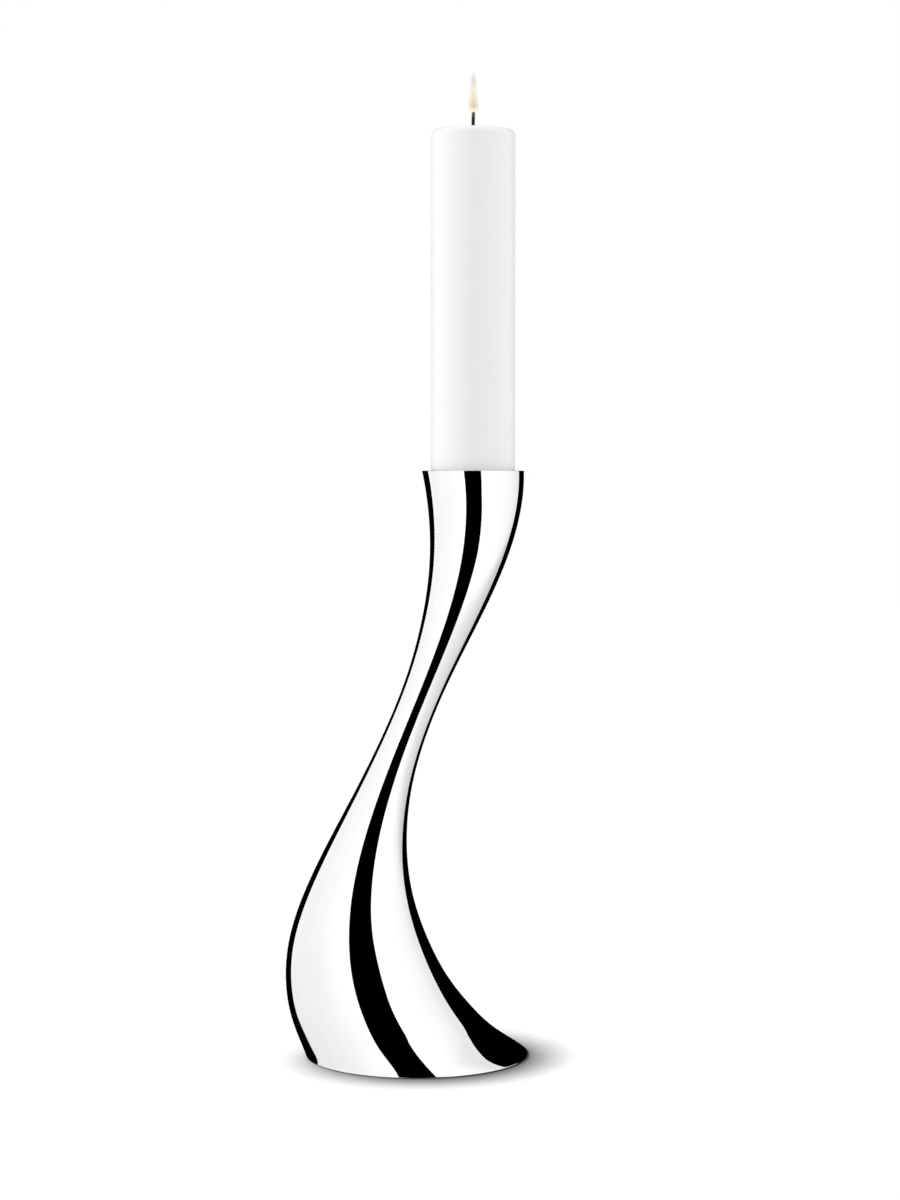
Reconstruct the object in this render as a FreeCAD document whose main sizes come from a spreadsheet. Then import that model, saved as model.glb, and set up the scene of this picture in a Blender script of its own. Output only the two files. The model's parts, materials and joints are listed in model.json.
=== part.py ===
"""Candlestick with a leaning, waisted body of polished sheet steel, and its pillar candle.

Millimetres. +Z is up and the origin is on the floor, at the centre of the round foot. +X is the way
the foot's tail runs out, which is also the side that the candle stands on. The body is a stack of
level circles whose centres swing to -X in the belly and back to +X at the mouth. It is pressed as a
front and a back half from sheet and welded on the plane Y = 0. A cup closes its mouth and a plate
with a cast weight closes its foot.
"""
import FreeCAD, Part
import Sketcher
import os
import re

# Level circles of the body's outer skin: height, how far the centre lies along X, radius.
SKIN_CIRCLES = [
    (0.8, 0.0, 93.3),
    (3.0, -1.7, 92.3),
    (10.0, -8.5, 88.4),
    (20.0, -17.8, 83.2),
    (35.0, -28.3, 77.7),
    (60.0, -40.5, 69.4),
    (95.0, -48.9, 58.7),
    (135.0, -49.4, 45.7),
    (180.0, -41.2, 32.6),
    (225.0, -27.2, 22.9),
    (270.0, -9.9, 18.2),
    (315.0, 8.7, 18.5),
    (360.0, 26.3, 23.4),
    (405.0, 40.3, 30.4),
    (450.0, 47.5, 37.6),
    (489.0, 46.6, 42.4),
]

# Every other size. An entry that is a formula of the ones above it starts with "=".
SIZES = [
    # Body sheet, measured level, and the space kept round the body when it is halved.
    ("wall", 1.5),
    ("half_space", 300.0),
    ("mouth_height", "=skin_level_15"),
    ("mouth_offset", "=skin_offset_15"),
    ("mouth_radius", "=skin_radius_15"),
    # Cup pressed from sheet, with a lip that fills the mouth.
    ("cup_radius", 36.0),
    ("cup_depth", 19.0),
    ("cup_sheet", 1.0),
    ("cup_bend", 0.8),
    ("lip_gap", 0.2),
    ("lip_radius", "=mouth_radius - wall - lip_gap"),
    ("cup_floor", "=mouth_height - cup_depth"),
    # Spike with a shoulder and a threaded stem, held under the cup by a washer and a nut.
    ("spike_radius", 3.5),
    ("spike_tip", 0.4),
    ("spike_length", 16.0),
    ("shoulder_radius", 6.0),
    ("shoulder_height", 1.5),
    ("stem_radius", 3.0),
    ("stem_length", 9.0),
    ("stem_clearance", 0.2),
    ("thread_gap", 0.05),
    ("spike_washer_radius", 7.0),
    ("spike_washer_height", 1.2),
    ("spike_nut_flats", 10.0),
    ("spike_nut_height", 5.0),
    # Foot: felt on the floor, steel plate, three welded lugs and their countersunk screws.
    ("foot_offset", -1.5),
    ("felt_radius", 84.0),
    ("felt_height", 1.0),
    ("plate_radius", 88.0),
    ("plate_height", 2.0),
    ("plate_top", "=felt_height + plate_height"),
    ("lug_inner", 66.0),
    ("lug_length", 30.0),
    ("lug_width", 14.0),
    ("lug_height", 9.0),
    ("screw_circle", 73.0),
    ("screw_radius", 2.0),
    ("screw_head_radius", 3.8),
    ("screw_head_height", 1.8),
    ("screw_recess", 0.1),
    ("screw_length", 9.0),
    ("screw_clearance", 0.1),
    ("screw_socket_radius", 1.4),
    ("screw_socket_depth", 1.4),
    # Cast weight on three welded studs.
    ("weight_offset", -8.0),
    ("weight_radius", 55.0),
    ("weight_height", 16.0),
    ("weight_chamfer", 1.5),
    ("stud_circle", 34.0),
    ("stud_radius", 2.5),
    ("stud_length", 24.0),
    ("stud_clearance", 0.3),
    ("stud_washer_radius", 5.5),
    ("stud_washer_height", 1.0),
    ("stud_nut_flats", 8.0),
    ("stud_nut_height", 4.0),
    # Pillar candle, bored from below to clear the spike.
    ("candle_radius", 35.0),
    ("candle_length", 300.0),
    ("candle_top", "=cup_floor + candle_length"),
    ("candle_shoulder", 5.0),
    ("candle_foot_round", 1.0),
    ("spike_room", 0.5),
    ("wick_radius", 1.2),
    ("wick_rise", 15.0),
    ("wick_start", 20.0),
    ("wick_foot", "=cup_floor + wick_start"),
]

FASTENERS = 3  # lugs, base screws and studs, each set evenly spaced
LUG_TURN = 60.0  # degrees from +X to the first lug
STUD_TURN = 0.0  # degrees from +X to the first stud
FULL_TURN = 360.0
HEXAGON = 6
SAME_PLACE = 1e-4  # mm within which two edges count as being in one place


def make_sheet(doc):
    """The spreadsheet that drives the model. A formula may use any size that comes before it."""
    sheet = doc.addObject("Spreadsheet::Sheet", "sizes")
    rows = []
    for index, (level, offset, radius) in enumerate(SKIN_CIRCLES):
        rows.append(("skin_level_%d" % index, level))
        rows.append(("skin_offset_%d" % index, offset))
        rows.append(("skin_radius_%d" % index, radius))
    rows += SIZES
    for number, (name, value) in enumerate(rows, start=1):
        sheet.set("A%d" % number, name)
        sheet.set("B%d" % number, str(value))
        sheet.setAlias("B%d" % number, name)
        doc.recompute()
    return sheet


def bind(thing, **formulas):
    """Ties properties of an object to formulas of the sheet. A dot in a name is written __."""
    for name, formula in formulas.items():
        thing.setExpression(name.replace("__", "."), on_sheet(formula))


def on_sheet(formula):
    """The formula with each size's name pointing at its cell. Functions such as cos() stay."""
    return re.sub(r"\b([a-z]\w*)\b(?!\()", r"sizes.\1", formula)


def cylinder(doc, name, radius, height, z="0", x="0", y="0"):
    solid = doc.addObject("Part::Cylinder", name)
    bind(solid, Radius=radius, Height=height)
    bind(solid, Placement__Base__x=x, Placement__Base__y=y, Placement__Base__z=z)
    return solid


def boolean(doc, kind, name, base, tool):
    result = doc.addObject("Part::" + kind, name)
    result.Base = base
    result.Tool = tool
    return result


def group(doc, name, members):
    result = doc.addObject("Part::Compound", name)
    result.Links = members
    return result


def datum_of(body, role):
    """One of the planes or axes of a body's own origin."""
    return next(item for item in body.Origin.OriginFeatures if item.Role == role)


def new_sketch(body, name, role):
    sketch = body.newObject("Sketcher::SketchObject", name)
    sketch.AttachmentSupport = [(datum_of(body, role), "")]
    sketch.MapMode = "FlatFace"
    return sketch


def fix_point(sketch, edge, end, across, up):
    """Places one end of an edge at sheet formulas measured from the sketch's origin."""
    for kind, formula in (("DistanceX", across), ("DistanceY", up)):
        index = sketch.addConstraint(Sketcher.Constraint(kind, -1, 1, edge, end, 1.0))
        sketch.setExpression("Constraints[%d]" % index, on_sheet(formula))


def outline(body, name, corners):
    """A closed outline of straight edges in the body's XZ plane. Each corner is two formulas."""
    sketch = new_sketch(body, name, "XZ_Plane")
    sheet = body.Document.getObject("sizes")
    places = [value_pair(sheet, corner) for corner in corners]
    for index, place in enumerate(places):
        following = places[(index + 1) % len(places)]
        sketch.addGeometry(Part.LineSegment(place, following), False)
    for index, corner in enumerate(corners):
        before = (index - 1) % len(corners)
        sketch.addConstraint(Sketcher.Constraint("Coincident", before, 2, index, 1))
        fix_point(sketch, index, 1, *corner)
    return sketch


def value_pair(sheet, corner):
    """A corner's place as plain numbers, so that the sketch is drawn near its solution."""
    names = {name: float(sheet.get(name)) for name, _ in SIZES}
    numbers = []
    for formula in corner:
        total, sign = 0.0, 1.0
        for word in formula.split():
            if word in "+-":
                sign = -1.0 if word == "-" else 1.0
            else:
                total += sign * (names[word] if word in names else float(word))
        numbers.append(total)
    return FreeCAD.Vector(numbers[0], numbers[1], 0)


def turned_body(doc, name, corners):
    """A body of revolution about the vertical through its own origin."""
    body = doc.addObject("PartDesign::Body", name)
    sketch = outline(body, name + "_outline", corners)
    turned = body.newObject("PartDesign::Revolution", name + "_turned")
    turned.Profile = sketch
    turned.ReferenceAxis = (sketch, ["V_Axis"])
    turned.Angle = FULL_TURN
    doc.recompute()
    return body


def round_sketch(body, name, radius, across="0"):
    """A circle on the body's XY plane."""
    sketch = new_sketch(body, name, "XY_Plane")
    sketch.addGeometry(Part.Circle(FreeCAD.Vector(1, 0, 0), FreeCAD.Vector(0, 0, 1), 1.0), False)
    fix_point(sketch, 0, 3, across, "0")
    index = sketch.addConstraint(Sketcher.Constraint("Radius", 0, 1.0))
    sketch.setExpression("Constraints[%d]" % index, on_sheet(radius))
    return sketch


def disc_body(doc, name, radius, height):
    body = doc.addObject("PartDesign::Body", name)
    sketch = round_sketch(body, name + "_circle", radius)
    pad = body.newObject("PartDesign::Pad", name + "_pad")
    pad.Profile = sketch
    bind(pad, Length=height)
    doc.recompute()
    return body


def drill_pattern(doc, body, name, radius, circle):
    """Round holes right through a disc, evenly spaced on a circle about its axis."""
    before = body.Shape.Volume
    sketch = round_sketch(body, name + "_circle", radius, across=circle)
    pocket = body.newObject("PartDesign::Pocket", name + "_pocket")
    pocket.Profile = sketch
    pocket.Type = "ThroughAll"
    pocket.Midplane = True
    doc.recompute()
    pattern = body.newObject("PartDesign::PolarPattern", name + "_pattern")
    pattern.Originals = [pocket]
    pattern.Axis = (datum_of(body, "Z_Axis"), [""])
    pattern.Angle = FULL_TURN
    pattern.Occurrences = FASTENERS
    body.Tip = pattern
    doc.recompute()
    if body.Shape.Volume >= before:
        raise RuntimeError(name + " removed nothing")


def turn_about_z(solid, degrees):
    solid.Placement.Rotation = FreeCAD.Rotation(FreeCAD.Vector(0, 0, 1), degrees)


def edges_of_circle(shape, radius, height):
    """Names of the round edges with this radius at this height, in the shape's own frame."""
    names = []
    for index, edge in enumerate(shape.Edges, start=1):
        curve = edge.Curve
        if not isinstance(curve, Part.Circle):
            continue
        if max(abs(curve.Radius - radius), abs(curve.Center.z - height)) < SAME_PLACE:
            names.append("Edge%d" % index)
    if not names:
        raise RuntimeError("no edge of radius %g at height %g" % (radius, height))
    return names


def finish_edges(doc, body, kind, size, places):
    """Fillets or chamfers a body's round edges. Each place is a radius and a height."""
    sheet = doc.getObject("sizes")
    base = body.Tip
    names = []
    for place in places:
        spot = value_pair(sheet, place)
        names += edges_of_circle(base.Shape, spot.x, spot.y)
    feature = body.newObject("PartDesign::" + kind, body.Name + "_" + size)
    feature.Base = (base, names)
    bind(feature, **{"Radius" if kind == "Fillet" else "Size": size})
    body.Tip = feature
    doc.recompute()


def hexagon_nut(doc, name, flats, height, bore, z, x="0", y="0"):
    """A plain hexagon nut. flats is the width across its flats."""
    prism = doc.addObject("Part::Prism", name + "_prism")
    prism.Polygon = HEXAGON
    bind(prism, Circumradius=flats + " / sqrt(3)", Height=height)
    bind(prism, Placement__Base__x=x, Placement__Base__y=y, Placement__Base__z=z)
    hole = cylinder(doc, name + "_bore", bore, height, z, x, y)
    return boolean(doc, "Cut", name, prism, hole)


def around(circle, turn, index, offset):
    """Formulas for one place of an evenly spaced ring whose centre is moved along X."""
    angle = turn + index * FULL_TURN / FASTENERS
    across = "%s * cos(%gdeg) + %s" % (circle, angle, offset)
    along = "%s * sin(%gdeg)" % (circle, angle)
    return across, along


def skin_solid(doc, name, inset):
    """A smooth solid through the level circles, each drawn in by the inset."""
    circles = []
    for index in range(len(SKIN_CIRCLES)):
        circle = doc.addObject("Part::Circle", "%s_circle_%d" % (name, index))
        bind(circle, Radius="skin_radius_%d - %s" % (index, inset))
        bind(circle, Placement__Base__x="skin_offset_%d" % index)
        bind(circle, Placement__Base__z="skin_level_%d" % index)
        circles.append(circle)
    solid = doc.addObject("Part::Loft", name)
    solid.Sections = circles
    solid.Solid = True
    solid.Ruled = False
    return solid


def shell_halves(doc, outer, inner):
    """The front and back pressings, which meet at their weld on the plane Y = 0."""
    hollow = boolean(doc, "Cut", "hollow_skin", outer, inner)
    halves = []
    for name, start in (("shell_front", "0 - half_space"), ("shell_back", "0")):
        space = doc.addObject("Part::Box", name + "_space")
        bind(space, Length="half_space * 2", Width="half_space", Height="half_space * 2")
        bind(space, Placement__Base__x="0 - half_space", Placement__Base__y=start)
        halves.append(boolean(doc, "Common", name, hollow, space))
    return halves


def candle_cup(doc):
    """The pressed cup: a flat floor with a hole for the spike, a wall and a lip."""
    under_lip = "mouth_height - cup_sheet"
    under_floor = "cup_floor - cup_sheet"
    outside = "cup_radius + cup_sheet"
    hole = "stem_radius + stem_clearance"
    cup = turned_body(doc, "candle_cup", [
        (hole, "cup_floor"),
        ("cup_radius", "cup_floor"),
        ("cup_radius", "mouth_height"),
        ("lip_radius", "mouth_height"),
        ("lip_radius", under_lip),
        (outside, under_lip),
        (outside, under_floor),
        (hole, under_floor),
    ])
    bind(cup, Placement__Base__x="mouth_offset")
    finish_edges(doc, cup, "Fillet", "cup_bend", [
        ("cup_radius", "cup_floor"),
        ("cup_radius", "mouth_height"),
        (outside, under_floor),
    ])
    return cup


def candle_spike(doc):
    """The pricket that the candle is pushed on to, with its shoulder and threaded stem."""
    shoulder_top = "cup_floor + shoulder_height"
    tip = "cup_floor + spike_length"
    stem_end = "cup_floor - stem_length"
    spike = turned_body(doc, "candle_spike", [
        ("0", stem_end),
        ("stem_radius", stem_end),
        ("stem_radius", "cup_floor"),
        ("shoulder_radius", "cup_floor"),
        ("shoulder_radius", shoulder_top),
        ("spike_radius", shoulder_top),
        ("spike_tip", tip),
        ("0", tip),
    ])
    bind(spike, Placement__Base__x="mouth_offset")
    return spike


def washer(doc, name, outer, inner, height, z, x="0", y="0"):
    disc = cylinder(doc, name + "_disc", outer, height, z, x, y)
    hole = cylinder(doc, name + "_hole", inner, height, z, x, y)
    return boolean(doc, "Cut", name, disc, hole)


def spike_fixings(doc):
    """The washer and nut that hold the spike under the floor of the cup."""
    washer_z = "cup_floor - cup_sheet - spike_washer_height"
    nut_z = washer_z + " - spike_nut_height"
    ring = washer(doc, "spike_washer", "spike_washer_radius", "stem_radius + stem_clearance",
                  "spike_washer_height", washer_z, "mouth_offset")
    nut = hexagon_nut(doc, "spike_nut", "spike_nut_flats", "spike_nut_height",
                      "stem_radius + thread_gap", nut_z, "mouth_offset")
    return [ring, nut]


def mount_lugs(doc, inner):
    """Blocks welded inside the foot, cut to the slope of the wall and tapped for the screws."""
    lugs = []
    for index in range(FASTENERS):
        name = "mount_lug_%d" % (index + 1)
        turn = LUG_TURN + index * FULL_TURN / FASTENERS
        block = doc.addObject("Part::Box", name + "_block")
        bind(block, Length="lug_length", Width="lug_width", Height="lug_height")
        turn_about_z(block, turn)
        bind(block, Placement__Base__z="plate_top",
             Placement__Base__x="foot_offset + lug_inner * cos(%gdeg) + lug_width / 2 * sin(%gdeg)"
             % (turn, turn),
             Placement__Base__y="lug_inner * sin(%gdeg) - lug_width / 2 * cos(%gdeg)"
             % (turn, turn))
        fitted = boolean(doc, "Common", name + "_fitted", block, inner)
        across, along = around("screw_circle", LUG_TURN, index, "foot_offset")
        hole = cylinder(doc, name + "_thread", "screw_radius + thread_gap", "lug_height",
                        "plate_top", across, along)
        lugs.append(boolean(doc, "Cut", name, fitted, hole))
    return group(doc, "mount_lugs", lugs)


def base_plate(doc):
    """The steel disc that closes the foot, countersunk from below for the screws."""
    plate = disc_body(doc, "base_plate", "plate_radius", "plate_height")
    bind(plate, Placement__Base__x="foot_offset", Placement__Base__z="felt_height")
    turn_about_z(plate, LUG_TURN)
    hole = "screw_radius + screw_clearance"
    drill_pattern(doc, plate, "screw_holes", hole, "screw_circle")
    finish_edges(doc, plate, "Chamfer", "screw_head_height", [(hole, "0")])
    return plate


def base_screws(doc):
    """Countersunk screws with a hexagon socket, up through the plate into the lugs."""
    screws = []
    for index in range(FASTENERS):
        name = "base_screw_%d" % (index + 1)
        across, along = around("screw_circle", LUG_TURN, index, "foot_offset")
        head_z = "felt_height + screw_recess"
        head = doc.addObject("Part::Cone", name + "_head")
        bind(head, Radius1="screw_head_radius", Radius2="screw_radius",
             Height="screw_head_height", Placement__Base__x=across,
             Placement__Base__y=along, Placement__Base__z=head_z)
        shank = cylinder(doc, name + "_shank", "screw_radius", "screw_length",
                         head_z + " + screw_head_height", across, along)
        blank = boolean(doc, "Fuse", name + "_blank", head, shank)
        socket = doc.addObject("Part::Prism", name + "_socket")
        socket.Polygon = HEXAGON
        bind(socket, Circumradius="screw_socket_radius", Height="screw_socket_depth",
             Placement__Base__x=across, Placement__Base__y=along, Placement__Base__z=head_z)
        screws.append(boolean(doc, "Cut", name, blank, socket))
    return group(doc, "base_screws", screws)


def felt_pad(doc):
    """The felt disc glued under the plate, which is what stands on the floor."""
    pad = disc_body(doc, "felt_pad", "felt_radius", "felt_height")
    bind(pad, Placement__Base__x="foot_offset")
    return pad


def ballast_weight(doc):
    """The cast disc on the plate that keeps the tall candle from tipping the body over."""
    weight = disc_body(doc, "ballast_weight", "weight_radius", "weight_height")
    bind(weight, Placement__Base__x="weight_offset", Placement__Base__z="plate_top")
    drill_pattern(doc, weight, "stud_holes", "stud_radius + stud_clearance", "stud_circle")
    finish_edges(doc, weight, "Chamfer", "weight_chamfer", [
        ("weight_radius", "weight_height"),
        ("weight_radius", "0"),
    ])
    return weight


def ballast_fixings(doc):
    """The welded studs, washers and nuts that hold the weight down."""
    washer_z = "plate_top + weight_height"
    nut_z = washer_z + " + stud_washer_height"
    studs, washers, nuts = [], [], []
    for index in range(FASTENERS):
        across, along = around("stud_circle", STUD_TURN, index, "weight_offset")
        number = index + 1
        studs.append(cylinder(doc, "ballast_stud_%d" % number, "stud_radius", "stud_length",
                              "plate_top", across, along))
        washers.append(washer(doc, "ballast_washer_%d" % number, "stud_washer_radius",
                              "stud_radius + stud_clearance", "stud_washer_height",
                              washer_z, across, along))
        nuts.append(hexagon_nut(doc, "ballast_nut_%d" % number, "stud_nut_flats",
                                "stud_nut_height", "stud_radius + thread_gap",
                                nut_z, across, along))
    return [
        group(doc, "ballast_studs", studs),
        group(doc, "ballast_washers", washers),
        group(doc, "ballast_nuts", nuts),
    ]


def candle_wax(doc):
    """The pillar of wax, bored for the spike from below and for the wick from above."""
    recess = "shoulder_radius + spike_room"
    recess_top = "cup_floor + shoulder_height + spike_room"
    bore_top = "cup_floor + spike_length + spike_room"
    wax = turned_body(doc, "candle_wax", [
        (recess, "cup_floor"),
        ("candle_radius", "cup_floor"),
        ("candle_radius", "candle_top"),
        ("wick_radius", "candle_top"),
        ("wick_radius", "wick_foot"),
        ("0", "wick_foot"),
        ("0", bore_top),
        ("spike_tip + spike_room", bore_top),
        ("spike_radius + spike_room", recess_top),
        (recess, recess_top),
    ])
    bind(wax, Placement__Base__x="mouth_offset")
    finish_edges(doc, wax, "Fillet", "candle_shoulder", [("candle_radius", "candle_top")])
    finish_edges(doc, wax, "Fillet", "candle_foot_round", [("candle_radius", "cup_floor")])
    return wax


def candle_wick(doc):
    return cylinder(doc, "candle_wick", "wick_radius", "candle_top - wick_foot + wick_rise",
                    "wick_foot", "mouth_offset")


def check_document(doc):
    """Stops if any object failed to compute."""
    for item in doc.Objects:
        if "Invalid" in item.State or "Error" in item.State:
            raise RuntimeError("%s failed: %s" % (item.Name, item.State))


def export_node(node):
    shape = node.Shape
    if shape.isNull() or not shape.isValid():
        raise RuntimeError(node.Label + " has no valid shape")
    shape.exportStep("parts/%s.step" % node.Label)
    box = shape.BoundBox
    print("%-16s %d solid(s) %10.1f mm3  x %.1f..%.1f  y %.1f..%.1f  z %.1f..%.1f" % (
        node.Label, len(shape.Solids), shape.Volume,
        box.XMin, box.XMax, box.YMin, box.YMax, box.ZMin, box.ZMax))


def main():
    doc = FreeCAD.newDocument("candlestick")
    make_sheet(doc)
    outer = skin_solid(doc, "outer_skin", "0")
    inner = skin_solid(doc, "inner_skin", "wall")
    nodes = shell_halves(doc, outer, inner)
    nodes.append(candle_cup(doc))
    nodes.append(candle_spike(doc))
    nodes += spike_fixings(doc)
    nodes.append(mount_lugs(doc, inner))
    nodes.append(base_plate(doc))
    nodes.append(base_screws(doc))
    nodes.append(felt_pad(doc))
    nodes.append(ballast_weight(doc))
    nodes += ballast_fixings(doc)
    nodes.append(candle_wax(doc))
    nodes.append(candle_wick(doc))
    doc.recompute()
    check_document(doc)
    os.makedirs("parts", exist_ok=True)
    for node in nodes:
        export_node(node)


main()
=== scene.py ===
"""Looks of the candlestick: mirror steel body, pressed cup, wax, wick and flame in a pale studio.

Metres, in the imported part's frame: +Z up, origin on the floor at the centre of the round foot, +X
the way the foot's tail runs. The camera stands in front, at -Y.
"""
import json
import math

import bmesh
import bpy
import numpy as np
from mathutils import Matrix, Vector, noise


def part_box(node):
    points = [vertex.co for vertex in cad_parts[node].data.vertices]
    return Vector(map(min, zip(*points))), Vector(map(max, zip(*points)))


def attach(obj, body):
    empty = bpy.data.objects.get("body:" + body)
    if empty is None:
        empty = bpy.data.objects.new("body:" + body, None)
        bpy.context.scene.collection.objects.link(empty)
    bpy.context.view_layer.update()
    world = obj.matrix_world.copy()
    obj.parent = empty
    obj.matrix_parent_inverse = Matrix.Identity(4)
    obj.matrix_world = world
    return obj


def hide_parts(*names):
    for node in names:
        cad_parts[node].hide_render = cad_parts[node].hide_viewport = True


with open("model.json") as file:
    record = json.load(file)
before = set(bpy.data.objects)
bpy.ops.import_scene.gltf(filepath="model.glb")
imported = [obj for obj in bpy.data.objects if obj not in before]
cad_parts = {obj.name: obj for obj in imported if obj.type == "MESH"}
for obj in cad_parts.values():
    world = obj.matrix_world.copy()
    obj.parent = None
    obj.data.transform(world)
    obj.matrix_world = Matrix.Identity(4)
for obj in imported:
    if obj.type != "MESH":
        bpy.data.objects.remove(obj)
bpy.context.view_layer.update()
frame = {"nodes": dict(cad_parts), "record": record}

# Points closer than this are one point, and faces that meet at less than a crease are smooth.
# Creases are in degrees.
MM = 0.001
SAME_PLACE = 1e-7
CREASE = 35.0
NO_CREASE = 180.0

# The body's level circles, as in the part's source: height, centre along X and radius, in mm.
SKIN_CIRCLES = [
    (0.8, 0.0, 93.3),
    (3.0, -1.7, 92.3),
    (10.0, -8.5, 88.4),
    (20.0, -17.8, 83.2),
    (35.0, -28.3, 77.7),
    (60.0, -40.5, 69.4),
    (95.0, -48.9, 58.7),
    (135.0, -49.4, 45.7),
    (180.0, -41.2, 32.6),
    (225.0, -27.2, 22.9),
    (270.0, -9.9, 18.2),
    (315.0, 8.7, 18.5),
    (360.0, 26.3, 23.4),
    (405.0, 40.3, 30.4),
    (450.0, 47.5, 37.6),
    (489.0, 46.6, 42.4),
]

# The sheet and its rounded edges, then how finely the skin is cut: rows up the wall, crowded
# toward the foot by a power, and columns round each half.
WALL = 1.5 * MM
RIM_ROUND = 0.45 * MM
FOOT_ROUND = 0.35 * MM
EDGE_MARGIN = 0.9 * MM
WALL_ROWS = 260
CROWDING_AT_FOOT = 1.3
HALF_COLUMNS = 96
ROUND_STEPS = 5
LATHE_STEPS = 128

# The cup, from its lip and its depth in the frame.
CUP_SHEET = 1.0 * MM
CUP_ROOM = 1.0 * MM
CUP_BEND = 0.8 * MM
LIP_ROUND = 0.2 * MM
SPIKE_HOLE = 3.2 * MM

# The candle's top, worn soft by one lighting, and the bores in its foot.
SHOULDER = 5.0 * MM
POOL_RADIUS = 7.0 * MM
POOL_DEPTH = 0.9 * MM
POOL_EDGE = 13.0 * MM
POOL_BEND = 12.0 * MM
WAX_FOOT_ROUND = 1.0 * MM
RECESS_RADIUS = 6.5 * MM
RECESS_HEIGHT = 2.0 * MM
BORE_RADIUS = 4.0 * MM
BORE_TIP = 0.9 * MM
BORE_HEIGHT = 16.5 * MM
WAX_ROUND_STEPS = 12
WAX_LONGEST_RUN = 6.0 * MM

# The unevenness near the candle's top: its depth, how far down it goes, and how fine it is round
# the candle and over a metre of height.
WAX_WAVER = 0.06 * MM
WAVER_REACH = 40 * MM
WAVER_ROUND = 1.3
WAVER_PER_METRE = 60

# The wick: three plaited strands with a slight lean, plumpest two thirds of the way up.
STRANDS = 3
STRAND_RADIUS = 0.86 * MM
STRAND_ORBIT = 0.62 * MM
STRAND_RINGS = 48
STRAND_SIDES = 12
PLAIT_PITCH = 5.0 * MM
WICK_BURIED = 8.0 * MM
WICK_LEAN = 0.35 * MM
SLIM_SHARE = 0.85
SWELL_SHARE = 0.2
SWELL_RUN = 0.75
END_SHARE = 0.55

# The flame, above and below the wick's tip. Its outline is: share of its height, radius in mm.
FLAME_RISE = 32.3 * MM
FLAME_DROP = 6.0 * MM
FLAME_OUTLINE = [
    (0.00, 1.2),
    (0.07, 3.2),
    (0.16, 4.3),
    (0.28, 4.4),
    (0.48, 3.8),
    (0.68, 3.1),
    (0.84, 2.4),
    (0.94, 1.5),
    (1.00, 0.15),
]
FLAME_ROWS = 40
FLAME_THINNEST = 0.02 * MM

# The flame's nested skins and their widths, the shares of its drop and its rise that a skin of no
# width would give up, how much of what is behind it each skin covers, and how uneven its colour is.
FLAME_LAYERS = [("outer", 1.0), ("middle", 0.78), ("inner", 0.54), ("heart", 0.30)]
DROP_GIVEN_UP = 0.6
RISE_GIVEN_UP = 0.38
FLAME_COVER = 0.15
FLICKER = 0.04

# Colours along each finish's speckle, and up the flame: place, colour.
MIRROR_TINTS = [(0.3, (0.925, 0.928, 0.93)), (0.7, (0.94, 0.94, 0.938))]
SATIN_TINTS = [(0.25, (0.62, 0.63, 0.64)), (0.75, (0.74, 0.745, 0.75))]
PLATED_TINTS = [(0.2, (0.52, 0.54, 0.57)), (0.8, (0.66, 0.67, 0.68))]
IRON_TINTS = [
    (0.35, (0.018, 0.018, 0.019)),
    (0.62, (0.04, 0.04, 0.042)),
    (0.78, (0.13, 0.125, 0.12)),
]
FELT_TINTS = [(0.4, (0.008, 0.008, 0.009)), (0.75, (0.035, 0.035, 0.037))]
WAX_TINTS = [(0.3, (0.945, 0.945, 0.94)), (0.7, (0.965, 0.965, 0.962))]
CHAR_TINTS = [
    (0.35, (0.0025, 0.0022, 0.002)),
    (0.65, (0.006, 0.005, 0.0045)),
    (0.85, (0.02, 0.016, 0.013)),
]
FLAME_TINTS = [
    (0.10, (0.98, 0.86, 0.55)),
    (0.22, (0.70, 0.48, 0.19)),
    (0.42, (0.82, 0.70, 0.40)),
    (0.75, (0.86, 0.82, 0.58)),
    (0.95, (0.62, 0.50, 0.45)),
]
WHITE = (1, 1, 1, 1)
BLACK = (0, 0, 0, 1)

# The camera: where it stands, degrees it looks down, and its lens in mm.
CAMERA_PLACE = (27.5 * MM, -2.18, 0.481)
CAMERA_DIP = 2.615
CAMERA_LENS = 78.59

# The floor's glow, with a shadow painted into it: the way the painted shadow is judged open from,
# how far it reaches from what stands there, and the floor's grey over how open it is that way.
FLOOR_HALF = 8.0
FLOOR_LIGHT = 1.03
SHADOW_LIGHT = (-0.88, 0.38, 0.30)
SHADOW_REACH = 0.044
SHADOW_SAMPLES = 32
SHADOW_DEPTH = [(0.35, 0.02), (0.68, 0.13), (0.82, 0.45), (0.92, 0.75), (1.00, 1.0)]

# Soft light for what isn't mirrored. Each side's comes from a direction, fades out where the
# cosine of the turn away from it falls to the edge, and has a strength. The fill is weaker from
# above.
LEFT_SIDE = {"toward": (-0.970, -0.242), "edge": 0.53, "strength": 0.97}
RIGHT_SIDE = {"toward": (0.978, -0.208), "edge": 0.64, "strength": 0.76}
SIDE_SOFTNESS = 0.08
FILL_STRENGTH = 0.65
FILL_LOSS_ABOVE = 0.28

# The light walls' front and rear edges over height: height, X, Y.
LEFT_FRONT = [(-3.0, -0.196, -0.637), (5.0, -0.196, -0.637)]
LEFT_REAR = [(-3.0, -0.50, 0.10), (-0.50, -0.50, 0.18), (-0.15, -0.50, 0.34), (5.0, -0.50, 0.34)]
RIGHT_FRONT = [
    (-3.0, 0.225, -0.428),
    (0.23, 0.225, -0.428),
    (0.30, 0.195, -0.428),
    (0.37, 0.169, -0.428),
    (0.45, 0.175, -0.428),
    (0.66, 0.200, -0.428),
    (1.00, 0.245, -0.428),
    (5.0, 0.265, -0.428),
]
RIGHT_REAR = [
    (-3.0, 1.18, 0.80),
    (0.80, 1.18, 0.80),
    (1.00, 1.18, 0.77),
    (1.20, 1.17, 0.84),
    (1.50, 1.15, 0.99),
    (2.10, 1.08, 1.08),
    (5.0, 1.05, 1.15),
]

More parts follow.
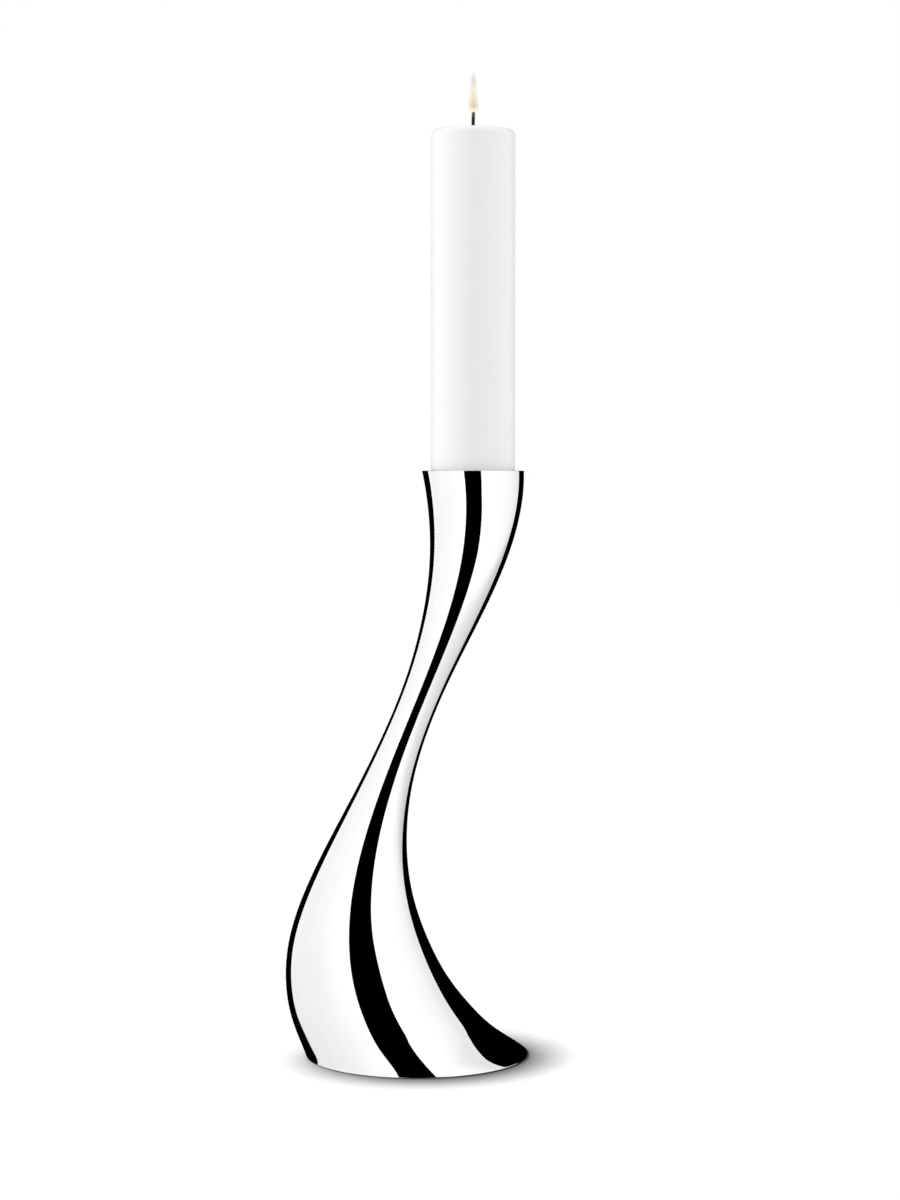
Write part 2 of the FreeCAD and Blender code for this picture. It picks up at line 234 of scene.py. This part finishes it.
# How grey each wall is: at its foot, and the heights between which that clears; at its top; at
# its rear edge; and how deep its clouds are. Then the heights between which the top's grey comes
# in, and the share of the rear edge's Y at which the rear's grey is full.
LEFT_GREY = {"low": 0.84, "clears": (-0.35, 0.32), "high": 0.82, "rear": 0.88, "cloud": 0.05}
RIGHT_GREY = {"low": 0.76, "clears": (0.07, 0.20), "high": 0.95, "rear": 0.77, "cloud": 0.04}
HIGH_COMES_IN = (0.5, 1.4)
REAR_FULL_AT = 0.6
WALL_GLOW = 1.16

# A number of matt bounces that lies between none and one.
BEFORE_MATT = 0.5


# ---- mesh helpers ----

def make_piece(name, points, faces, normals=None):
    """A smooth mesh object. Normals, one to a point, are for surfaces that mirror."""
    mesh = bpy.data.meshes.new(name)
    mesh.from_pydata([tuple(p) for p in points], [], [tuple(f) for f in faces])
    mesh.validate()
    mesh.shade_smooth()
    if normals is not None:
        mesh.normals_split_custom_set_from_vertices([tuple(n) for n in normals])
    piece = bpy.data.objects.new(name, mesh)
    bpy.context.scene.collection.objects.link(piece)
    return piece


def grid_faces(rows, columns, first=0, close_rows=False, close_columns=False):
    """Quads over a grid of points laid row by row."""
    faces = []
    for row in range(rows if close_rows else rows - 1):
        after = (row + 1) % rows
        for column in range(columns if close_columns else columns - 1):
            beside = (column + 1) % columns
            faces.append((
                first + row * columns + column,
                first + row * columns + beside,
                first + after * columns + beside,
                first + after * columns + column,
            ))
    return faces


def rounded(outline, rounds, steps=ROUND_STEPS):
    """An outline of (radius, height) points with arcs at the corners that rounds has sizes for."""
    points = []
    for index, corner in enumerate(outline):
        size = rounds.get(index, 0.0)
        if not size:
            points.append(corner)
            continue
        here = Vector(corner)
        back = (Vector(outline[index - 1]) - here).normalized()
        onward = (Vector(outline[(index + 1) % len(outline)]) - here).normalized()
        half = back.angle(onward) / 2
        centre = here + (back + onward).normalized() * size / math.sin(half)
        start = here + back * size / math.tan(half) - centre
        end = here + onward * size / math.tan(half) - centre
        for step in range(steps + 1):
            points.append(tuple(centre + start.slerp(end, step / steps) * size))
    return points


def split_long(outline, longest):
    """Adds points along the long straight runs of an outline."""
    points = []
    for here, there in zip(outline, outline[1:]):
        pieces = max(1, math.ceil(math.dist(here, there) / longest))
        for step in range(pieces):
            points.append(tuple(Vector(here).lerp(Vector(there), step / pieces)))
    points.append(outline[-1])
    return points


def lathe(name, outline, centre, crease=CREASE, shift=None):
    """Turns an outline from axis to axis, or a closed ring of points, about a vertical axis."""
    closed = outline[0][0] > 0
    rows = len(outline)
    points = []
    for radius, height in outline:
        for step in range(LATHE_STEPS):
            turn = math.tau * step / LATHE_STEPS
            reach = radius + (shift(turn, height) if shift and radius else 0.0)
            points.append((centre[0] + reach * math.cos(turn),
                           centre[1] + reach * math.sin(turn), height))
    faces = grid_faces(rows, LATHE_STEPS, close_rows=closed, close_columns=True)
    piece = make_piece(name, points, faces)
    tidy_mesh(piece.data, crease)
    return piece


def tidy_mesh(mesh, crease):
    """Merges the points on the axis, turns every face outward and marks the sharp edges."""
    work = bmesh.new()
    work.from_mesh(mesh)
    bmesh.ops.remove_doubles(work, verts=work.verts, dist=SAME_PLACE)
    bmesh.ops.recalc_face_normals(work, faces=work.faces)
    work.to_mesh(mesh)
    work.free()
    mesh.shade_smooth()
    mesh.set_sharp_from_angle(angle=math.radians(crease))


# ---- the body ----

class SmoothCurve:
    """A cubic spline through points, whose third derivative runs on past the outermost two."""

    def __init__(self, places, values):
        self.places = np.array(places, float)
        self.values = np.array(values, float)
        self.steps = np.diff(self.places)
        self.rises = np.diff(self.values) / self.steps
        count = len(self.places)
        rows = np.zeros((count, count))
        right = np.zeros(count)
        for i in range(1, count - 1):
            rows[i, i - 1] = self.steps[i - 1]
            rows[i, i] = 2 * (self.steps[i - 1] + self.steps[i])
            rows[i, i + 1] = self.steps[i]
            right[i] = 6 * (self.rises[i] - self.rises[i - 1])
        rows[0, :3] = self.steps[1], -(self.steps[0] + self.steps[1]), self.steps[0]
        rows[-1, -3:] = self.steps[-1], -(self.steps[-2] + self.steps[-1]), self.steps[-2]
        self.bends = np.linalg.solve(rows, right)

    def at(self, place):
        """Value and slope at each place."""
        i = np.clip(np.searchsorted(self.places, place) - 1, 0, len(self.steps) - 1)
        step, low, high = self.steps[i], self.bends[i], self.bends[i + 1]
        left = self.places[i + 1] - place
        right = place - self.places[i]
        value = (low * left ** 3 + high * right ** 3) / (6 * step)
        value += (self.values[i] / step - low * step / 6) * left
        value += (self.values[i + 1] / step - high * step / 6) * right
        slope = (high * right ** 2 - low * left ** 2) / (2 * step)
        slope += self.rises[i] - (high - low) * step / 6
        return value, slope


def corner_rows(corner, first, last, size):
    """Rows of an arc that rounds a corner between faces whose normals stand at two angles."""
    radius, height = corner
    facing = 1 + np.cos(last - first)
    middle_radius = radius - size * (np.cos(first) + np.cos(last)) / facing
    middle_height = height - size * (np.sin(first) + np.sin(last)) / facing
    rows = []
    for step in range(ROUND_STEPS + 1):
        angle = first + (last - first) * step / ROUND_STEPS
        rows.append((middle_radius + size * np.cos(angle),
                     middle_height + size * np.sin(angle), angle))
    return rows


def skin_rows(turns):
    """Rows up the outer wall, over the rim, down the inner wall and under the foot.

    Each is: centre along X, radius, height, and the angle of the normal above the level.
    """
    levels, offsets, radii = (np.array(column) * MM for column in zip(*SKIN_CIRCLES))
    middle = SmoothCurve(levels, offsets)
    reach = SmoothCurve(levels, radii)
    low, high = levels[0], levels[-1]
    share = np.linspace(0, 1, WALL_ROWS) ** CROWDING_AT_FOOT
    heights = low + EDGE_MARGIN + (high - low - 2 * EDGE_MARGIN) * share

    def wall_angle(height):
        slope = reach.at(height)[1] + middle.at(height)[1] * np.cos(turns)
        return np.arctan2(-slope, np.ones_like(slope))

    def wall_rows(inset, flip):
        found = []
        for height in heights:
            radius = reach.at(height)[0] - inset
            found.append((middle.at(height)[0], radius, height, wall_angle(height) + flip))
        return found

    def edge_rows(height, inset, first, last, size):
        centre = middle.at(height)[0]
        corner = (reach.at(height)[0] - inset, height)
        return [(centre, *row) for row in corner_rows(corner, first, last, size)]

    up, down = math.pi / 2, 3 * math.pi / 2
    rows = wall_rows(0.0, 0.0)
    rows += edge_rows(high, 0.0, wall_angle(high), up, RIM_ROUND)
    rows += edge_rows(high, WALL, up, wall_angle(high) + math.pi, RIM_ROUND)
    rows += wall_rows(WALL, math.pi)[::-1]
    rows += edge_rows(low, WALL, wall_angle(low) + math.pi, down, FOOT_ROUND)
    rows += edge_rows(low, 0.0, down, wall_angle(low) + math.tau, FOOT_ROUND)
    return rows


def shell_half(name, start):
    """Half of the body as a closed skin, from a turn in degrees to half a turn further."""
    turns = np.radians(start + np.linspace(0, 180, HALF_COLUMNS + 1))
    flat = np.ones_like(turns)
    rows = skin_rows(turns)
    points, normals = [], []
    for centre, radius, height, angle in rows:
        points.append(np.stack([centre + radius * np.cos(turns), radius * np.sin(turns),
                                height * flat], axis=1))
        normals.append(np.stack([np.cos(angle) * np.cos(turns), np.cos(angle) * np.sin(turns),
                                 np.sin(angle) * flat], axis=1))
    columns = len(turns)
    faces = grid_faces(len(rows), columns, close_rows=True)
    points = np.concatenate(points)
    normals = np.concatenate(normals)
    return close_ends(name, points, normals, faces, len(rows), columns)


def close_ends(name, points, normals, faces, rows, columns):
    """Adds the two flat edges where the halves are welded, between the outer and inner walls.

    The second edge's normals point into the half. That doesn't show, as the weld hides it.
    """
    sides = []
    for column, facing in ((0, 1), (columns - 1, -1)):
        ring = points[column::columns]
        across = np.array((0.0, 1.0, 0.0)) * facing
        if points[columns // 2][1] > 0:
            across = -across
        first = len(points) + sum(len(side) for side, _ in sides)
        sides.append((ring, np.tile(across, (rows, 1))))
        half = rows // 2
        for row in range(half - 1):
            quad = (first + row, first + row + 1, first + rows - 2 - row, first + rows - 1 - row)
            faces.append(quad if facing > 0 else quad[::-1])
    points = np.concatenate([points] + [side for side, _ in sides])
    normals = np.concatenate([normals] + [facing for _, facing in sides])
    return make_piece(name, points, faces, normals)


# ---- the cup, the candle, the wick and the flame ----

def middle_of(node):
    """The X and Y of a node's middle."""
    low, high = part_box(node)
    return ((low.x + high.x) / 2, (low.y + high.y) / 2)


def candle_cup():
    """The pressed cup: floor, wall and lip, of one sheet with rounded bends."""
    low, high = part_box("candle_cup")
    lip = (high.x - low.x) / 2
    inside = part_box("candle_wax")[1].x - middle_of("candle_cup")[0] + CUP_ROOM
    outline = rounded([
        (SPIKE_HOLE, low.z),
        (inside + CUP_SHEET, low.z),
        (inside + CUP_SHEET, high.z - CUP_SHEET),
        (lip, high.z - CUP_SHEET),
        (lip, high.z),
        (inside, high.z),
        (inside, low.z + CUP_SHEET),
        (SPIKE_HOLE, low.z + CUP_SHEET),
    ], {1: CUP_BEND, 4: LIP_ROUND, 5: CUP_BEND, 6: CUP_BEND})
    return lathe("candle_cup_pressing", outline, middle_of("candle_cup"))


def candle_wax():
    """The pillar: soft shoulder, shallow dish round the wick, and the spike's bore in its foot."""
    low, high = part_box("candle_wax")
    radius = (high.x - low.x) / 2

    def waver(turn, height):
        """The slight unevenness that the flame leaves in the wax near its top."""
        near = max(0.0, 1 - (high.z - height) / WAVER_REACH)
        place = Vector((math.cos(turn) * WAVER_ROUND, math.sin(turn) * WAVER_ROUND,
                        height * WAVER_PER_METRE))
        return noise.noise(place) * WAX_WAVER * near

    outline = [
        (0.0, high.z - POOL_DEPTH),
        (POOL_RADIUS, high.z - POOL_DEPTH),
        (POOL_EDGE, high.z),
        (radius, high.z),
        (radius, low.z),
        (RECESS_RADIUS, low.z),
        (RECESS_RADIUS, low.z + RECESS_HEIGHT),
        (BORE_RADIUS, low.z + RECESS_HEIGHT),
        (BORE_TIP, low.z + BORE_HEIGHT),
        (0.0, low.z + BORE_HEIGHT),
    ]
    bends = {1: POOL_BEND, 2: POOL_BEND, 3: SHOULDER, 4: WAX_FOOT_ROUND}
    outline = split_long(rounded(outline, bends, steps=WAX_ROUND_STEPS), WAX_LONGEST_RUN)
    return lathe("candle_wax_pillar", outline, middle_of("candle_wax"), shift=waver)


def candle_wick():
    """Three plaited strands, thinner and leaning a little where they have burned."""
    across, along = middle_of("candle_wick")
    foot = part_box("candle_wax")[1].z - POOL_DEPTH
    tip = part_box("candle_wick")[1].z
    start = foot - WICK_BURIED
    points, faces = [], []
    for strand in range(STRANDS):
        first = len(points)
        for ring in range(STRAND_RINGS + 1):
            height = start + (tip - start) * ring / STRAND_RINGS
            shown = max(0.0, (height - foot) / (tip - foot))
            swell = SLIM_SHARE + SWELL_SHARE * math.sin(math.pi * shown * SWELL_RUN)
            if ring == STRAND_RINGS:
                swell = END_SHARE
            turn = math.tau * (strand / STRANDS + (height - start) / PLAIT_PITCH)
            middle_x = across + WICK_LEAN * shown ** 2 + STRAND_ORBIT * swell * math.cos(turn)
            middle_y = along + STRAND_ORBIT * swell * math.sin(turn)
            for side in range(STRAND_SIDES):
                around = math.tau * side / STRAND_SIDES
                points.append((middle_x + STRAND_RADIUS * swell * math.cos(around),
                               middle_y + STRAND_RADIUS * swell * math.sin(around), height))
        faces += grid_faces(STRAND_RINGS + 1, STRAND_SIDES, first=first, close_columns=True)
        top = first + STRAND_RINGS * STRAND_SIDES
        faces.append(tuple(range(first, first + STRAND_SIDES))[::-1])
        faces.append(tuple(range(top, top + STRAND_SIDES)))
    return make_piece("candle_wick_plait", points, faces)


def flame_layer(name, share):
    """One of the flame's nested skins, a closed drop round the tip of the wick."""
    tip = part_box("candle_wick")[1].z
    middle = middle_of("candle_wick")
    bottom = tip - FLAME_DROP * (1 - DROP_GIVEN_UP * (1 - share))
    top = tip + FLAME_RISE * (1 - RISE_GIVEN_UP * (1 - share))
    places, radii = zip(*FLAME_OUTLINE)
    curve = SmoothCurve(places, [radius * MM * share for radius in radii])
    outline = [(0.0, bottom)]
    for place in np.linspace(0, 1, FLAME_ROWS):
        radius = max(float(curve.at(np.array(place))[0]), FLAME_THINNEST)
        outline.append((radius, bottom + (top - bottom) * float(place)))
    outline.append((0.0, top))
    lean = (middle[0] + WICK_LEAN, middle[1])
    return lathe("candle_flame_" + name, outline, lean, crease=NO_CREASE)


# ---- materials ----

class Shading:
    """A short way to build a node tree."""

    def __init__(self, block):
        block.use_nodes = True
        self.tree = block.node_tree
        self.tree.nodes.clear()

    def add(self, kind, inputs=(), **settings):
        """A node with these settings. Inputs are (socket, value or another node's output)."""
        made = self.tree.nodes.new("ShaderNode" + kind)
        for name, value in settings.items():
            setattr(made, name, value)
        for socket, value in dict(inputs).items():
            if isinstance(value, bpy.types.NodeSocket):
                self.tree.links.new(value, made.inputs[socket])
            else:
                made.inputs[socket].default_value = value
        return made

    def math(self, operation, first, second):
        """One sum on two values."""
        return self.add("Math", {0: first, 1: second}, operation=operation).outputs[0]

    def place(self, scale=(1, 1, 1)):
        """A point of the piece in its own space, stretched."""
        spot = self.add("TexCoord").outputs["Object"]
        return self.add("Mapping", {"Vector": spot, "Scale": scale}).outputs[0]

    def speckle(self, scale, detail=4.0, rough=0.6, stretch=(1, 1, 1)):
        """Noise from 0 to 1, finer at a larger scale."""
        inputs = {"Vector": self.place(stretch), "Scale": scale, "Detail": detail,
                  "Roughness": rough}
        return self.add("TexNoise", inputs).outputs[0]

    def between(self, value, span, target=(0.0, 1.0)):
        """Maps a value from one range smoothly to another."""
        inputs = {"Value": value, "From Min": span[0], "From Max": span[1],
                  "To Min": target[0], "To Max": target[1]}
        return self.add("MapRange", inputs, interpolation_type="SMOOTHSTEP").outputs[0]

    def ramp(self, value, stops):
        """Colours along a value. Stops are (place, colour)."""
        made = self.add("ValToRGB", {"Fac": value})
        marks = made.color_ramp.elements
        while len(marks) < len(stops):
            marks.new(0.5)
        for mark, (place, colour) in zip(marks, stops):
            mark.position = place
            mark.color = (*colour, 1.0)
        return made.outputs["Color"]

    def bump(self, height, strength, distance, under=None):
        """A normal bent by a height, on top of another one if it is given."""
        inputs = {"Height": height, "Strength": strength, "Distance": distance}
        if under is not None:
            inputs["Normal"] = under
        return self.add("Bump", inputs).outputs[0]

    def mix(self, share, first, second):
        """A shader that goes from the first to the second as the share goes from 0 to 1."""
        inputs = {0: share, 1: first.outputs[0], 2: second.outputs[0]}
        return self.add("MixShader", inputs)

    def show(self, shader, output="OutputMaterial"):
        """Makes this the shader that the tree gives."""
        self.add(output, {"Surface": shader.outputs[0]})

    def finish(self, inputs):
        """Ends the tree with an ordinary surface."""
        self.show(self.add("BsdfPrincipled", inputs))


def new_material(name):
    """An empty material and the means to build it."""
    material = bpy.data.materials.new(name)
    return material, Shading(material)


def polished_steel():
    """Mirror steel: faint haze where it was wiped, hairline polishing marks, a hint of ripple."""
    material, shade = new_material("polished_steel")
    wiped = shade.speckle(14.0, detail=3.0)
    haze = shade.between(wiped, (0.35, 0.75), target=(0.004, 0.012))
    marks = shade.speckle(900.0, detail=2.0, rough=0.5, stretch=(1, 1, 0.04))
    hairs = shade.between(marks, (0.70, 0.78), target=(0.0, 0.01))
    tint = shade.ramp(shade.speckle(22.0), MIRROR_TINTS)
    ripple = shade.bump(shade.speckle(30.0, detail=1.0), strength=0.04, distance=0.02 * MM)
    shade.finish({"Base Color": tint, "Metallic": 1.0, "Normal": ripple,
                  "Roughness": shade.math("ADD", haze, hairs)})
    return material


def satin_steel():
    """Turned and pressed steel with a fine upright grain."""
    material, shade = new_material("satin_steel")
    grain = shade.speckle(700.0, detail=3.0, rough=0.6, stretch=(1, 1, 0.08))
    tint = shade.ramp(grain, SATIN_TINTS)
    rough = shade.between(shade.speckle(90.0), (0.3, 0.7), target=(0.20, 0.32))
    lay = shade.bump(grain, strength=0.25, distance=0.02 * MM)
    shade.finish({"Base Color": tint, "Metallic": 1.0, "Roughness": rough, "Normal": lay})
    return material


def plated_steel():
    """Zinc plate: a slightly blue, spangled grey."""
    material, shade = new_material("plated_steel")
    spangle = shade.add("TexVoronoi", {"Vector": shade.place(), "Scale": 900.0})
    tint = shade.ramp(spangle.outputs["Color"], PLATED_TINTS)
    rough = shade.between(shade.speckle(260.0), (0.3, 0.7), target=(0.30, 0.46))
    lay = shade.bump(shade.speckle(1400.0), strength=0.2, distance=0.02 * MM)
    shade.finish({"Base Color": tint, "Metallic": 1.0, "Roughness": rough, "Normal": lay})
    return material


def cast_weight():
    """Sand-cast iron under black paint, worn paler on its high spots."""
    material, shade = new_material("cast_weight")
    grit = shade.speckle(420.0, detail=6.0, rough=0.7)
    tint = shade.ramp(grit, IRON_TINTS)
    cast = shade.bump(grit, strength=0.7, distance=0.2 * MM)
    rough = shade.between(grit, (0.3, 0.7), target=(0.75, 0.5))
    shade.finish({"Base Color": tint, "Metallic": 0.25, "Normal": cast, "Roughness": rough})
    return material


def black_felt():
    """Pressed felt: short matted fibres and a soft sheen."""
    material, shade = new_material("black_felt")
    fibres = shade.speckle(1600.0, detail=5.0, rough=0.75, stretch=(1, 0.35, 1))
    crossed = shade.speckle(1500.0, detail=5.0, rough=0.75, stretch=(0.35, 1, 1))
    matted = shade.math("MAXIMUM", fibres, crossed)
    tint = shade.ramp(matted, FELT_TINTS)
    nap = shade.bump(matted, strength=0.8, distance=0.15 * MM)
    rough = shade.between(matted, (0.3, 0.8), target=(1.0, 0.85))
    shade.finish({"Base Color": tint, "Roughness": rough, "Normal": nap, "Sheen Weight": 0.35,
                  "Sheen Roughness": 0.5})
    return material


def white_wax():
    """Paraffin wax: milky, with small differences in gloss, and fine pores in its skin."""
    material, shade = new_material("white_wax")
    tint = shade.ramp(shade.speckle(55.0), WAX_TINTS)
    gloss = shade.speckle(300.0, detail=5.0)
    rough = shade.between(gloss, (0.3, 0.7), target=(0.40, 0.52))
    pores = shade.bump(shade.speckle(1500.0), strength=0.10, distance=0.03 * MM)
    waves = shade.speckle(70.0, detail=2.0)
    skin = shade.bump(waves, strength=0.10, distance=0.15 * MM, under=pores)
    shade.finish({"Base Color": tint, "Roughness": rough, "Normal": skin, "IOR": 1.44,
                  "Subsurface Weight": 0.35, "Subsurface Scale": 3.0 * MM,
                  "Subsurface Radius": (1.0, 0.9, 0.8)})
    return material


def burnt_wick():
    """Charred cotton, dark in its hollows and browner on its ridges."""
    material, shade = new_material("burnt_wick")
    fibre = shade.speckle(2600.0, rough=0.7, stretch=(1, 1, 0.3))
    tint = shade.ramp(fibre, CHAR_TINTS)
    char = shade.bump(fibre, strength=0.8, distance=0.2 * MM)
    rough = shade.between(fibre, (0.3, 0.7), target=(0.95, 0.8))
    shade.finish({"Base Color": tint, "Normal": char, "Roughness": rough})
    return material


def flame_light(name, low, high):
    """Clear flame: dull at the tip, cream below it, tan round the wick, fading out at the foot."""
    material, shade = new_material("flame_" + name)
    spot = shade.add("TexCoord").outputs["Object"]
    height = shade.add("SeparateXYZ", {"Vector": spot}).outputs["Z"]
    rise = shade.between(height, (low, high))
    flicker = shade.math("MULTIPLY", shade.speckle(160.0, detail=2.0), FLICKER)
    rise = shade.math("ADD", rise, flicker)
    colour = shade.ramp(rise, FLAME_TINTS)
    thin = shade.between(rise, (0.0, 0.19), target=(0.10, 1.0))
    solid = shade.math("MULTIPLY", thin, FLAME_COVER)
    light = shade.add("Emission", {"Color": colour, "Strength": 1.0})
    clear = shade.add("BsdfTransparent")
    shade.show(shade.mix(solid, clear, light))
    material.cycles.emission_sampling = "NONE"
    return material


# ---- the studio ----

def studio_world():
    """White behind everything; soft light from both sides and above for what isn't mirrored."""
    world = bpy.data.worlds.new("studio")
    bpy.context.scene.world = world
    shade = Shading(world)
    look = shade.add("TexCoord").outputs["Generated"]
    axes = shade.add("SeparateXYZ", {"Vector": look})
    level = shade.add("CombineXYZ", {"X": axes.outputs["X"], "Y": axes.outputs["Y"]})
    level = shade.add("VectorMath", {0: level.outputs[0]}, operation="NORMALIZE").outputs[0]

    def side_light(side):
        inputs = {0: level, 1: (*side["toward"], 0.0)}
        toward = shade.add("VectorMath", inputs, operation="DOT_PRODUCT").outputs["Value"]
        span = (side["edge"] - SIDE_SOFTNESS, side["edge"] + SIDE_SOFTNESS)
        return shade.between(toward, span, target=(0.0, side["strength"]))

    left = side_light(LEFT_SIDE)
    right = side_light(RIGHT_SIDE)
    above = shade.math("MAXIMUM", axes.outputs["Z"], 0.0)
    loss = shade.math("MULTIPLY", above, FILL_LOSS_ABOVE)
    fill = shade.math("SUBTRACT", FILL_STRENGTH, loss)
    total = shade.math("ADD", shade.math("ADD", left, right), fill)
    soft = shade.add("Background", {"Color": WHITE, "Strength": total})
    dark = shade.add("Background", {"Color": BLACK, "Strength": 0.0})
    white = shade.add("Background", {"Color": WHITE, "Strength": 1.0})
    path = shade.add("LightPath")
    lit = shade.mix(path.outputs["Is Glossy Ray"], soft, dark)
    seen = shade.mix(path.outputs["Is Camera Ray"], lit, white)
    shade.show(seen, "OutputWorld")


def glow(piece, material, shade, colour, strength):
    """Makes a studio piece of plain light, which no other surface looks for as a lamp."""
    shade.show(shade.add("Emission", {"Color": colour, "Strength": strength}))
    material.cycles.emission_sampling = "NONE"
    piece.data.materials.append(material)


def at_height(edge, height):
    """The place on a wall's edge at a height, between the edge's points."""
    heights, across, along = zip(*edge)
    return (float(np.interp(height, heights, across)), float(np.interp(height, heights, along)))


def light_wall(name, front, rear, grey):
    """A tall white wall seen only in reflections. It lights nothing matt by way of the steel."""
    heights = sorted({row[0] for row in front + rear})
    points = []
    for height in heights:
        points.append((*at_height(front, height), height))
        points.append((*at_height(rear, height), height))
    wall = make_piece(name, points, grid_faces(len(heights), 2))
    for ray in ("camera", "diffuse", "transmission", "volume_scatter", "shadow"):
        setattr(wall, "visible_" + ray, False)
    material, shade = new_material(name)
    spot = shade.add("TexCoord").outputs["Object"]
    axes = shade.add("SeparateXYZ", {"Vector": spot})
    depth = (front[0][2], rear[0][2] * REAR_FULL_AT)
    clouds = (1.0 - grey["cloud"], 1.0)
    parts = [
        shade.between(axes.outputs["Z"], grey["clears"], target=(grey["low"], 1.0)),
        shade.between(axes.outputs["Z"], HIGH_COMES_IN, target=(1.0, grey["high"])),
        shade.between(axes.outputs["Y"], depth, target=(1.0, grey["rear"])),
        shade.between(shade.speckle(3.0, detail=2.0), (0.3, 0.7), target=clouds),
        shade.math("LESS_THAN", shade.add("LightPath").outputs["Diffuse Depth"], BEFORE_MATT),
    ]
    strength = WALL_GLOW
    for part in parts:
        strength = shade.math("MULTIPLY", strength, part)
    glow(wall, material, shade, WHITE, strength)


def studio_floor():
    """A glowing white floor that mirrors don't see, with a soft painted shadow close round what
    stands on it.
    """
    size = FLOOR_HALF
    corners = [(-size, -size, 0), (size, -size, 0), (size, size, 0), (-size, size, 0)]
    floor = make_piece("studio_floor", corners, [(0, 1, 2, 3)])
    floor.visible_glossy = False
    floor.visible_diffuse = False
    material, shade = new_material("studio_floor")
    toward_light = shade.add("CombineXYZ", dict(zip("XYZ", SHADOW_LIGHT))).outputs[0]
    inputs = {"Distance": SHADOW_REACH, "Normal": toward_light}
    opened = shade.add("AmbientOcclusion", inputs, samples=SHADOW_SAMPLES).outputs["AO"]
    # Painted shadow: the floor's glow turns grey where it is less open that way, not where light is
    # blocked.
    painted_shadow = shade.ramp(opened, [(place, (grey, grey, grey)) for place, grey in SHADOW_DEPTH])
    glow(floor, material, shade, painted_shadow, FLOOR_LIGHT)


def studio_camera():
    """The camera, level but for its dip, looking along +Y."""
    data = bpy.data.cameras.new("camera")
    data.lens = CAMERA_LENS
    camera = bpy.data.objects.new("camera", data)
    camera.location = CAMERA_PLACE
    camera.rotation_euler = (math.radians(90 - CAMERA_DIP), 0, 0)
    bpy.context.scene.collection.objects.link(camera)
    bpy.context.scene.camera = camera


# ---- putting it together ----

def dress(piece, material, body, stands_for=()):
    """Gives a piece its material and its body, and hides the nodes that it stands for."""
    piece.data.materials.clear()
    piece.data.materials.append(material)
    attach(piece, body)
    if stands_for:
        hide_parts(*stands_for)


def dress_cad_nodes(materials):
    """The hidden pieces keep their CAD shapes and take their slot's material."""
    for row in frame["record"]["subparts"]:
        mesh = frame["nodes"][row["node"]].data
        mesh.materials.clear()
        mesh.materials.append(materials[row["material_slot"]])


def main():
    """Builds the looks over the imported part, and the studio round it."""
    bpy.context.scene.view_settings.view_transform = "Standard"
    materials = {make.__name__: make() for make in (
        polished_steel, satin_steel, plated_steel, cast_weight, black_felt, white_wax, burnt_wick)}
    dress_cad_nodes(materials)
    for side, start in (("front", 180), ("back", 0)):
        skin = shell_half("shell_%s_skin" % side, start)
        dress(skin, materials["polished_steel"], "stand", ["shell_" + side])
    dress(candle_cup(), materials["satin_steel"], "stand", ["candle_cup"])
    dress(candle_wax(), materials["white_wax"], "candle", ["candle_wax"])
    dress(candle_wick(), materials["burnt_wick"], "candle", ["candle_wick"])
    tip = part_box("candle_wick")[1].z
    for name, share in FLAME_LAYERS:
        layer = flame_layer(name, share)
        layer.visible_shadow = False
        light = flame_light(name, tip - FLAME_DROP, tip + FLAME_RISE)
        dress(layer, light, "candle")
    studio_world()
    light_wall("left_light_wall", LEFT_FRONT, LEFT_REAR, LEFT_GREY)
    light_wall("right_light_wall", RIGHT_FRONT, RIGHT_REAR, RIGHT_GREY)
    studio_floor()
    studio_camera()


main()
